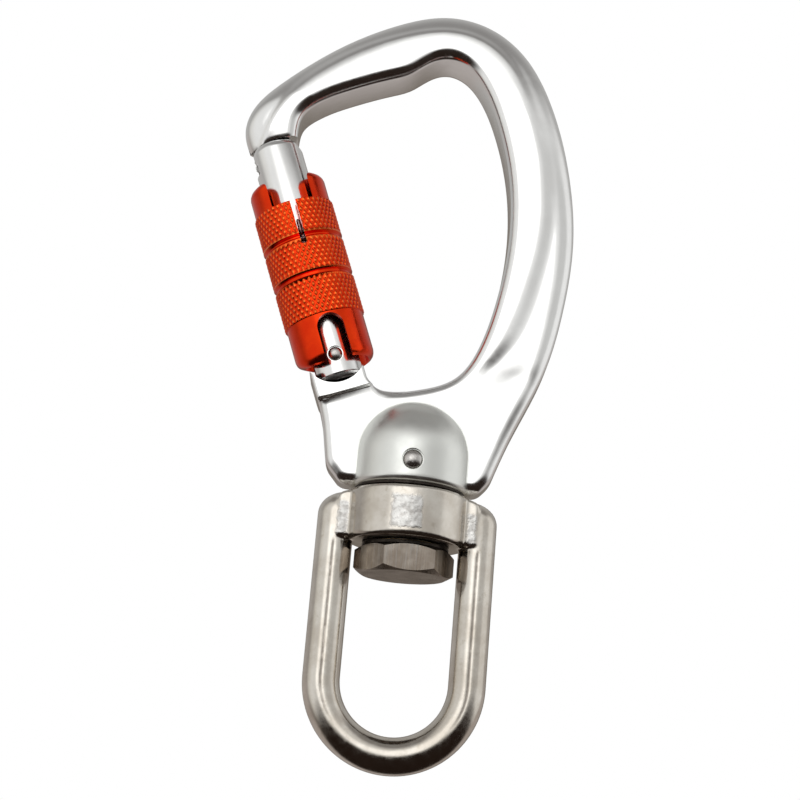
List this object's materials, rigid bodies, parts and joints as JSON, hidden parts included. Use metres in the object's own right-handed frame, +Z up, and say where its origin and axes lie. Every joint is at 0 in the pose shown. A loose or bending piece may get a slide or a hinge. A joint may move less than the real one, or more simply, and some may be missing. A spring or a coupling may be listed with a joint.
{
  "type": "swivel snap shackle",
  "caption": "Forged aluminium snap hook with a sprung, sleeve-locked gate on one side, joined by a hexagon bolt to a swivelling stainless stirrup.",
  "frame": {"origin": "inner apex of the bow on the swivel axis, where the load hangs", "axes": "+Z up the swivel and load axis, +X from the gate towards the spine, +Y through the hook"},
  "size_m": [0.0732, 0.0256, 0.1665],
  "materials": {
    "polished_aluminium": "bright polished forged aluminium",
    "anodised_sleeve": "orange-red anodised aluminium, knurled bands",
    "cast_stainless": "polished cast stainless steel",
    "bolt_steel": "turned stainless steel, dull",
    "pin_steel": "bright steel",
    "spring_steel": "spring wire",
    "bush_brass": "machined brass",
    "bushing_acetal": "black acetal"
  },
  "bodies": {
    "hook": {"body_frame": "polished_aluminium", "swivel_bolt": "bolt_steel", "swivel_cross_pin": "pin_steel", "upper_thrust_washer": "pin_steel", "lower_thrust_washer": "pin_steel"},
    "gate": {"gate_barrel": "polished_aluminium", "gate_rivet": "pin_steel", "guide_pin": "pin_steel", "spring_clip": "spring_steel", "gate_spring": "spring_steel"},
    "plunger": {"gate_plunger": "bush_brass"},
    "seat": {"spring_seat": "bush_brass"},
    "sleeve": {"locking_sleeve": "anodised_sleeve", "sleeve_bushing": "bushing_acetal", "sleeve_spring": "spring_steel"},
    "bail": {"swivel_bail": "cast_stainless", "swivel_bush": "bush_brass"}
  },
  "joints": [
    {"name": "gate_swing", "type": "hinge", "parent": "hook", "child": "gate", "pos_m": [-0.018, 0, -0.07], "axis": [0, 1, 0], "range_deg": [0, 22], "stiffness_Nm_per_rad": 0.08, "springref_deg": -28.65, "deforming": ["gate_spring"]},
    {"name": "plunger_slide", "type": "slide", "parent": "gate", "child": "plunger", "axis": [-0.3514, 0, 0.9362], "range_m": [0, 0.0012]},
    {"name": "sleeve_slide", "type": "slide", "parent": "gate", "child": "seat", "axis": [-0.3514, 0, 0.9362], "range_m": [0, 0.004], "stiffness_N_per_m": 300, "springref_m": -0.006, "deforming": ["sleeve_spring"]},
    {"name": "sleeve_turn", "type": "hinge", "parent": "seat", "child": "sleeve", "pos_m": [-0.018, 0, -0.07], "axis": [-0.3514, 0, 0.9362], "range_deg": [0, 90], "stiffness_Nm_per_rad": 0.01, "springref_deg": -34.38, "deforming": ["sleeve_spring"]},
    {"name": "bail_swivel", "type": "hinge", "parent": "hook", "child": "bail", "pos_m": [0, 0, -0.1031], "axis": [0, 0, 1], "continuous": true}
  ],
  "couplings": [
    {"joint": "plunger_slide", "follows": "gate_swing", "m_per_rad": 0.0029}
  ]
}
